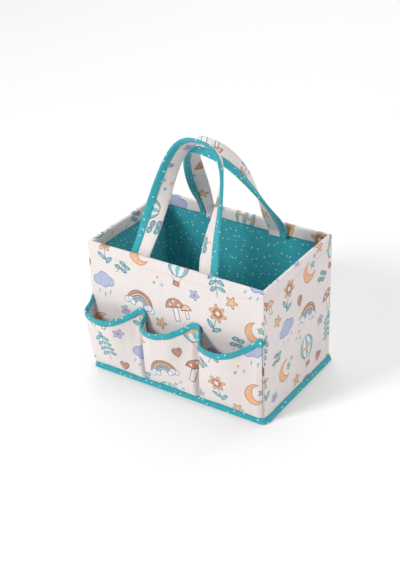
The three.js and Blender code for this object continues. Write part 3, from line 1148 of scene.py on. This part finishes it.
def pocket_lines(pocket, count):
    """A pocket's foot line and top line, each with the same number of evenly spaced stations."""
    start, end, depth = pocket["start"], pocket["end"], pocket["depth"]
    low = clearance + pocket_cloth / 2
    high = low + clearance + binding_cloth
    turn = pocket_cloth
    at_corner = pocket["underlap"] < 1
    pleat = [Vector((start, pocket_cloth / 2 if at_corner else low))]
    pleat += bend(Vector((start + pleat_depth, low + turn)), turn, -90, 90)
    pleat += bend(Vector((start + pleat_edge + turn, low + 3 * turn)), turn, 270, 90)
    for share in spread(0.05, 1, 0.025):
        x = start + pleat_edge + turn + (end - start - pleat_edge - turn) * share
        stack = max(4 * turn * (1 - pleat_settles * share), foot_puff + end_puff * share ** 2)
        pleat.append(Vector((x, low + stack * ease((end - x) / end_drop))))
    crest, underlap, edge = (start + pocket[key] for key in ("crest", "underlap", "edge"))
    fall = [
        Vector((crest + (end - crest) * share, max(high, depth * math.cos(0.5 * math.pi * share) ** 1.6)))
        for share in (0.3, 0.6, 0.85)]
    mouth = curve_through([
        Vector((start, 0.1 if at_corner else high)),
        Vector((start + 0.6 * pocket["underlap"], high + 0.02 * depth)),
        Vector((underlap, high + 0.12 * depth)),
        Vector(((underlap + edge) / 2, 0.4 * depth)),
        Vector((edge, 0.62 * depth)),
        Vector((edge + 3.5, 0.79 * depth)),
        Vector((edge + (crest - edge) * 0.45, 0.94 * depth)),
        Vector((crest, depth)),
        *fall,
        Vector((end, high)),
    ])
    foot, foot_length = along_line(pleat, count)
    top, _ = along_line(mouth, count)
    return [
        {"foot": below, "top": above, "out": (above.y - high) / (depth - high),
         "puff": side_puff * ease((end - below.x) / end_drop) * math.exp((below.x - end) / side_reach),
         "flat": foot_length * number / count}
        for number, (below, above) in enumerate(zip(foot, top))
    ]


stations = []
for pocket in pockets:
    own_stations = pocket_lines(pocket, 56)
    begun = 0
    if stations:
        last, first = stations[-1], own_stations[0]
        stations.append({
            "foot": last["foot"].lerp(first["foot"], 0.5), "top": last["top"].lerp(first["top"], 0.5),
            "out": 0, "puff": 0, "flat": last["flat"] + seam_half_width})
        begun = last["flat"] + 2 * seam_half_width
    for station in own_stations:
        stations.append({**station, "flat": station["flat"] + begun})
strip_length = stations[-1]["flat"]
print("the pocket strip is cut", round(strip_length), "mm long")

# %% [markdown]
# A point of the strip has a station, a height and a distance out from the middle of the cloth. The
# strip also follows the wall behind it, and has soft folds of its own that run up from the pleats.

# %% Places on the pocket strip


def strip_top(station):
    share = (station["top"].x + pocket_end) / (2 * pocket_end)
    sewn = pocket_top_left + (pocket_top_right - pocket_top_left) * share
    return sewn + seam_peak - pocket_drop * max(0, station["out"]) ** 0.6


def strip_middle(station, z):
    rise = min(1, max(0, (z - pocket_foot) / (strip_top(station) - pocket_foot)))
    place = station["foot"].lerp(station["top"], rise ** 0.6)
    low = clearance + pocket_cloth / 2
    place.y = low + (place.y - low) * (0.6 + 0.4 * ease((z - pocket_foot) / 7))
    place.y += station["puff"] * math.sin(math.pi * rise ** 0.7)
    free = ease(rise * 3) * ease(max(0, station["out"]) * 2)
    folds = soft_fold * slow(station["flat"] / 16, z / 60, 61)
    folds += small_fold * slow(station["flat"] / 7, z / 34, 62)
    return Vector((place.x, place.y + folds * free))


def strip_point(index, z, out):
    before = strip_middle(stations[max(0, index - 1)], z)
    after = strip_middle(stations[min(len(stations) - 1, index + 1)], z)
    here = strip_middle(stations[index], z)
    run = (after - before).normalized()
    x = here.x - run.y * out
    y = here.y + run.x * out
    return Vector((x, -(half_depth + y + give("front", x, z)), z))


# %% [markdown]
# The strip's cloth and its tape follow from that. The tape is folded over the strip's top edge, and
# at the right end it is turned under, which makes it thicker there.

# %% Pocket strip and its tape


def make_pocket_strip():
    rows = [0, 0.05, 0.1, 0.16, 0.23, 0.31, 0.4, 0.5, 0.6, 0.7, 0.8, 0.9, 1, 2]

    def height(index, row):
        top = strip_top(stations[index])
        if row > 1:
            return top - clearance
        return pocket_foot + (top - pocket_band - pocket_foot) * row

    def lay(index, row):
        z = height(index, row)
        return strip_point(index, z, 0), (stations[index]["flat"] + 1715, z + 40)

    strip = make_cloth(
        "pocket_cloth", range(len(stations)), rows, lay, pocket_cloth, "printed_cotton",
        "pocket_strip")
    heights = [strip_top(station) - pocket_foot for station in stations]
    cut_area = sum(
        (after["flat"] - before["flat"]) * (low + high) / 2
        for before, after, low, high in zip(stations, stations[1:], heights, heights[1:]))
    print("its wavy top edge leaves", round(cut_area / 100), "square centimetres")
    strip_length * MM
    max(heights) * MM
    cut_area * MM * MM


def folded(face):
    """A row of places across one face of something folded, and back across the other."""
    return face + [(across, -out) for across, out in reversed(face)]


tape_fold = folded([
    (pocket_band, 1), (pocket_band * 0.72, 1), (pocket_band * 0.4, 1), (0.4, 1),
    (-0.35, 0.85), (-0.8, 0.4),
])
tape_half = pocket_cloth / 2 + clearance + binding_cloth / 2
tape_run = run_along([(below, side * tape_half) for below, side in tape_fold])
tape_crown = 0.25
tape_ripple = 0.12
turned_end = 8
turned_out = 1.3


def tape_point(index, below, side):
    """A place on the middle of the pocket tape: how far below the strip's edge, and its side."""
    station = stations[index]
    crown = tape_crown * math.sin(math.pi * min(1, max(0, below / pocket_band)))
    turned_under = ease((station["top"].x - (pocket_end - turned_end)) / 2)
    ripple = tape_ripple * slow(station["flat"] / 6, below / 4, 71)
    out = side * (tape_half + crown + ripple) + max(0, side) * turned_out * turned_under
    top = strip_top(station)
    point = strip_point(index, min(top, top - below), out)
    point.x += 2.5 * ease((station["top"].x - (pocket_end - 3)) / 3)
    point.z = top - below * (1 + 0.3 * turned_under) + 2.4 * turned_under
    return point


def make_pocket_tape():
    def lay(index, fold):
        flat = stations[index]["flat"] + 31, 900 + tape_run[tape_fold.index(fold)]
        return tape_point(index, *fold), flat

    tape = make_cloth(
        "pocket_tape", range(len(stations)), tape_fold, lay, binding_cloth, "teal_cotton",
        "pocket_binding")
    strip_length * MM


make_pocket_strip()
make_pocket_tape()

# %% [markdown]
# Each strap is an arch in a plane that leans into the caddy. It starts flat on the facing inside
# the rim, and twists as it climbs so that its bound edge, which faces out at both ends, faces
# forward over the top. The route is worked out here as it is for the solids.

# %% The straps' routes
strap_width = 30
strap_spacing = 118
core_thickness = 1.0
sleeve_cloth = 0.5
strap_tape = 0.6
strap_band = 11
sewn_from = 2.5
sewn_to = 4.5
lean_radius = 20
hinge_above_rim = 8
crease_reach = 7
twist_start = 34
straps = {
    "front": {
        "facing": -1, "shift": -5, "lean": 18, "rise": 185, "apex": 11.5, "left_tilt": 31,
        "left_lift": 120, "right_tilt": 19, "right_lift": 74, "left_shoulder": 44,
        "right_shoulder": 76, "twist": 75,
    },
    "back": {
        "facing": 1, "shift": 2, "lean": 31, "rise": 186, "apex": -11, "left_tilt": 8,
        "left_lift": 75, "right_tilt": 3, "right_lift": 98, "left_shoulder": 30,
        "right_shoulder": 66, "twist": 86,
    },
}
half_strap = strap_width / 2
sleeve_out = core_thickness / 2 + clearance + sleeve_cloth / 2
tape_out = sleeve_out + sleeve_cloth / 2 + clearance + strap_tape / 2
tape_face = tape_out + strap_tape / 2
raw_edge = half_strap - strap_tape - clearance
tape_edge = half_strap - strap_band


def bezier(p0, p1, p2, p3, steps=300):
    """Points along a cubic curve, all but its last."""
    for step in range(steps):
        t = step / steps
        s = 1 - t
        yield p0 * s ** 3 + p1 * 3 * s * s * t + p2 * 3 * s * t * t + p3 * t ** 3


class StrapRoute:
    """Where a strap runs: its middle line, its width direction and its twist."""

    def __init__(self, shape):
        self.shape = shape
        self.lean = math.radians(shape["lean"])
        foot = Vector((strap_spacing / 2, 0))
        top = Vector((shape["apex"], shape["rise"]))
        left = (
            -foot, -foot + Vector((shape["left_tilt"], shape["left_lift"])),
            top - Vector((shape["left_shoulder"], 0)), top)
        right = (
            top, top + Vector((shape["right_shoulder"], 0)),
            foot + Vector((-shape["right_tilt"], shape["right_lift"])), foot)
        self.points = [*bezier(*left), *bezier(*right), foot]
        self.lengths = run_along(self.points)
        self.reach = self.lengths[-1]
        self.sewn_y = shape["facing"] * (half_depth + facing_out - outer_cloth / 2 - clearance - tape_face)
        self.sewn_z = rim - hem_depth + sewn_from
        bend_length = lean_radius * self.lean
        self.hinge = bend_length + (
            rim + hinge_above_rim - self.sewn_z - lean_radius * math.sin(self.lean)
        ) / math.cos(self.lean)

    def flat(self, distance):
        """The place and the heading in the arch's own plane."""
        along = min(self.reach, max(0, distance))
        index, share = step_at(self.lengths, along)
        ahead = self.points[min(len(self.points) - 1, index + 3)]
        behind = self.points[max(0, index - 2)]
        heading = (ahead - behind).normalized()
        place = self.points[index].lerp(self.points[index + 1], share)
        return place + heading * (distance - along), heading

    def at(self, distance):
        """Centre, run, width, normal and up at a distance along the strap."""
        shape = self.shape
        facing = shape["facing"]
        place, heading = self.flat(distance)
        turned_by = min(self.lean, max(0, place.y / lean_radius))
        straight = max(0, place.y - lean_radius * self.lean)
        inward = lean_radius * (1 - math.cos(turned_by)) + straight * math.sin(self.lean)
        rise = lean_radius * math.sin(turned_by) + straight * math.cos(self.lean) + min(0, place.y)
        centre = Vector((shape["shift"] + place.x, self.sewn_y - facing * inward, self.sewn_z + rise))
        up = Vector((0, -facing * math.sin(turned_by), math.cos(turned_by)))
        forward = Vector((0, -math.cos(turned_by), -facing * math.sin(turned_by)))
        run = (up * heading.y + Vector((heading.x, 0, 0))).normalized()
        outward = forward.cross(run)
        share = (min(distance, self.reach - distance) - twist_start) / (self.reach / 2 - twist_start)
        share = min(1, max(0, share))
        twist = math.radians(shape["twist"]) * (1 - (1 - share) ** 1.7)
        width = outward * math.cos(twist) + forward * math.sin(twist)
        return centre, run, width, run.cross(width), up

    def point(self, distance, across, out):
        """A place on the strap, pushed a little by the soft wall near its sewn ends."""
        centre, _, width, normal, _ = self.at(distance)
        place = centre + width * across + normal * out
        name = "front" if self.shape["facing"] < 0 else "back"
        side = 1 if name == "front" else -1
        held = ease((rim + 8 - place.z) / 16)
        place.y += self.shape["facing"] * give(name, side * place.x, min(rim, place.z)) * held
        return place


routes = {name: StrapRoute(shape) for name, shape in straps.items()}
for name, route in routes.items():
    print(f"{name} strap: {route.reach + 2 * sewn_to:.0f} mm long, crease at {route.hinge:.1f} mm")

# %% [markdown]
# The strap itself is a folded sleeve over a soft core with a tape folded round one edge. Each layer
# is a row of places across the strap, laid along the route from sewn end to sewn end. A bevelled
# curve could carry them too, but its twist is harder to steer and it keeps no flat measure. The
# sleeve has a slight crown between its stitched edges.

# %% Straps


def sleeve_row():
    """Places across the folded sleeve: out along one face, round the fold and back."""
    out = sleeve_out
    face = []
    for across in (raw_edge, 9, tape_edge, 1, -3, -7, -10.5, -13):
        middle = 1 - ((across - tape_edge / 2 + half_strap / 2) / 11) ** 2
        face.append((across, out + 0.35 * max(0, middle)))
    return folded([*face, (-half_strap + 0.75, out * 0.85), (-half_strap + 0.25, out * 0.4)])


def tape_row():
    """Places across the folded tape: in from its open edge, round the strap's edge and back."""
    return folded([
        (tape_edge, tape_out), (tape_edge + 2.4, tape_out + 0.18), (tape_edge + 5.5, tape_out + 0.22),
        (half_strap - 2.2, tape_out + 0.1), (half_strap - 0.75, tape_out * 0.92),
        (half_strap - 0.3, tape_out * 0.45)])


def core_row():
    """Places round the soft core."""
    half = core_thickness / 2
    near = [(raw_edge - 1.2, half), (0, half), (-half_strap + 2.4, half)]
    far = [(across, -out) for across, out in reversed(near)]
    return [(raw_edge - 0.4, 0), *near, (-half_strap + 1.6, 0), *far]


def lay_strap(name, route, row, wobble, closed=False):
    """One layer of a strap, from sewn end to sewn end."""
    distances = spread(-sewn_to, route.reach + sewn_to, 3.6)
    places = [*row, row[0]] if closed else list(row)
    run = run_along(places)
    print_shift = 2300 if route is routes["front"] else 3100

    def lay(distance, number):
        across, out = places[number]
        uneven = wobble * slow(distance / 12, across / 9, 81 + math.copysign(2, out))
        stray = wobble * 1.4 * slow(distance / 26, 0, 85)
        place = route.point(distance, across + stray, out + math.copysign(abs(uneven), out))
        return place, (distance + print_shift, run[number] + 600)

    layer = lay_cloth(name, distances, range(len(places)), lay)
    if closed:
        face_outward(layer, merge=0.01)
    return layer


def cross_crease(piece, name, route):
    """Finds a strap's crease between the caddy and its swinging loop, and bakes in its place."""
    facing = route.shape["facing"]
    centre, *_, up = route.at(route.hinge)
    out_of_wall = Vector((0, facing * up.z, -facing * up.y))
    crease = centre + out_of_wall * (tape_face + clearance / 2)
    tuple((crease - up * crease_reach) * MM)
    tuple((crease + up * crease_reach) * MM)
    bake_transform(piece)


def make_strap(name, route):
    sleeve = lay_strap(f"{name}_strap_sleeve", route, sleeve_row(), 0.18)
    thicken(sleeve, sleeve_cloth)
    tape = lay_strap(f"{name}_strap_tape", route, tape_row(), 0.1)
    thicken(tape, strap_tape)
    core = lay_strap(f"{name}_strap_padding", route, core_row(), 0, closed=True)
    only(core)
    bpy.ops.object.mode_set(mode="EDIT")
    bpy.ops.mesh.select_all(action="DESELECT")
    bpy.ops.mesh.select_non_manifold()
    bpy.ops.mesh.edge_face_add()
    bpy.ops.object.mode_set(mode="OBJECT")
    face_outward(core)
    ends = [f"{name}_{side}_tab" for side in ("left", "right")]
    dress(sleeve, "printed_cotton", f"{name}_strap", *ends, body=None)
    bindings = [f"{end}_binding" for end in ends]
    dress(tape, "teal_cotton", f"{name}_strap_binding", *bindings, body=None)
    dress(core, "foam", f"{name}_strap_core", body=None)
    for piece in (sleeve, tape, core):
        cross_crease(piece, name, route)
    cut = (route.reach + 2 * sewn_to) * MM, run_along(tape_row())[-1] * MM


for name, route in routes.items():
    make_strap(name, route)

# %% [markdown]
# Last come the stitches. They could be drawn in the cloth's material, but a raised thread catches
# the light as a real one does. One stitch is a short thread with rounded ends, and it is copied
# along each line of sewing, lying on the cloth and sunk a little into it.

# %% One stitch and a line of them
stitch_length = 2.3
stitch_pitch = 3.2
thread_radius = 0.24
stitch_lift = 0.04
look_from = 4
look_through = 9


def one_stitch():
    """Points and faces of a stitch that lies along X, with Z up, in millimetres."""
    bpy.ops.object.select_all(action="DESELECT")
    bpy.ops.mesh.primitive_cylinder_add(
        vertices=6, radius=thread_radius, depth=stitch_length, rotation=(0, math.pi / 2, 0))
    stitch = bpy.context.object
    bpy.ops.object.transform_apply(rotation=True)
    bpy.ops.object.mode_set(mode="EDIT")
    bpy.ops.mesh.select_all(action="SELECT")
    bpy.ops.mesh.bevel(offset=thread_radius * 0.55, segments=1)
    bpy.ops.object.mode_set(mode="OBJECT")
    points = [vertex.co.copy() for vertex in stitch.data.vertices]
    faces = [tuple(face.vertices) for face in stitch.data.polygons]
    bpy.data.objects.remove(stitch)
    return points, faces


stitch_points, stitch_faces = one_stitch()


def surface_of(*names):
    """The faces of finished cloths, to lay stitches on, in millimetres."""
    points = []
    faces = []
    for name in names:
        mesh = bpy.data.objects[name].data
        base = len(points)
        points += [vertex.co / MM for vertex in mesh.vertices]
        faces += [[base + corner for corner in face.vertices] for face in mesh.polygons]
    return BVHTree.FromPolygons(points, faces)


def settled(line, surface):
    """The same line moved along its way out until it lies on a surface."""
    laid = []
    for place, out in line:
        hit, *_ = surface.ray_cast(place + out * look_from, -out, look_through)
        if hit is not None:
            laid.append((hit + out * stitch_lift, out))
    return laid


def sew(name, lines, slot, *cloths, body=None):
    """Stitches along lines. Each line is a list of places near the cloth with the way out of it."""
    surface = surface_of(*cloths)
    points = []
    faces = []
    for line in lines:
        places, ways_out = zip(*settled(line, surface))
        run = run_along(places)
        for number in range(int(run[-1] / stitch_pitch)):
            index, share = step_at(run, (number + 0.5) * stitch_pitch)
            heading = (places[index + 1] - places[index]).normalized()
            out = ways_out[index].lerp(ways_out[index + 1], share)
            out = (out - heading * out.dot(heading)).normalized()
            turn = Matrix((heading, out.cross(heading), out)).transposed()
            middle = places[index].lerp(places[index + 1], share)
            base = len(points)
            points += [(middle + turn @ point) * MM for point in stitch_points]
            faces += [tuple(base + corner for corner in face) for face in stitch_faces]
    mesh = bpy.data.meshes.new(name)
    mesh.from_pydata(points, [], faces)
    mesh.uv_layers.new(name="flat")
    for loop in mesh.loops:
        co = mesh.vertices[loop.vertex_index].co
        mesh.uv_layers[0].data[loop.index].uv = (co.x + co.y, co.z)
    piece = bpy.data.objects.new(name, mesh)
    bpy.context.scene.collection.objects.link(piece)
    only(piece)
    bpy.ops.object.shade_smooth()
    piece.data.materials.append(threads[slot])
    if body:
        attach(piece, body)
    print(f"{name}: {len(points) // len(stitch_points)} stitches")
    return piece


# %% [markdown]
# A seam through the hem shows outside and inside. The foot tape, the pocket tape and the pocket
# seams each have a line, and a strap has one along its tape and one along its fold, on each face.

# %% Sewing the caddy


def line_on_wall(name, out, z, side):
    """A line round one wall at a height. Side is 1 outside and -1 inside."""
    line = []
    for column in wall_columns(name, 3)[1:-1]:
        place = wall_point(name, column, out, z)
        beyond = wall_point(name, column, out + 1, z)
        line.append((place, (beyond - place).normalized() * side))
    return line


outer_cloths = [f"{name}_outer_cloth" for name in walls]
hem = [line_on_wall(name, 0, seam_height, 1) for name in walls]
hem += [line_on_wall(name, facing_out, seam_height, -1) for name in walls]
sew("hem_stitching", hem, "printed_cotton", *outer_cloths, body="caddy")

foot_line = []
for column in ring_columns(3, 6):
    place = ring_point(column, clearance + binding_cloth + 0.42, 7.9)
    foot_line.append((place, (ring_point(column, 3, 7.9) - place).normalized()))
sew("foot_tape_stitching", [foot_line], "teal_cotton", "foot_tape", body="caddy")

tape_line = []
for index in range(len(stations)):
    place = tape_point(index, pocket_band - 1.5, 1)
    behind = tape_point(index, pocket_band - 1.5, -1)
    tape_line.append((place, (place - behind).normalized()))
sew("pocket_tape_stitching", [tape_line], "teal_cotton", "pocket_tape", body="caddy")


def seam_line(x):
    """A line up the flat cloth of a pocket seam."""
    nearest = min(range(len(stations)), key=lambda index: abs(stations[index]["top"].x - x))
    line = []
    for z in spread(pocket_foot + 2, strip_top(stations[nearest]) - pocket_band - 1, 3):
        line.append((Vector((x, -half_depth - 1 - give("front", x, z), z)), Vector((0, -1, 0))))
    return line


seams = [seam_line(seam - 0.4) for seam in pocket_seams]
sew("pocket_seam_stitching", seams, "printed_cotton", "pocket_cloth", body="caddy")


def line_on_strap(route, across, side):
    """A line along one face of a strap."""
    line = []
    for distance in spread(-sewn_to + 2, route.reach + sewn_to - 2, 3):
        normal = route.at(distance)[3] * side
        line.append((route.point(distance, across, side * tape_face), normal))
    return line


for name, route in routes.items():
    along_tape = [line_on_strap(route, tape_edge + 1.5, side) for side in (-1, 1)]
    along_fold = [line_on_strap(route, -half_strap + 3, side) for side in (-1, 1)]
    on_tape = sew(f"{name}_strap_tape_stitching", along_tape, "teal_cotton", f"{name}_strap_tape")
    on_sleeve = sew(f"{name}_strap_stitching", along_fold, "printed_cotton", f"{name}_strap_sleeve")
    for stitches in (on_tape, on_sleeve):
        cross_crease(stitches, name, route)
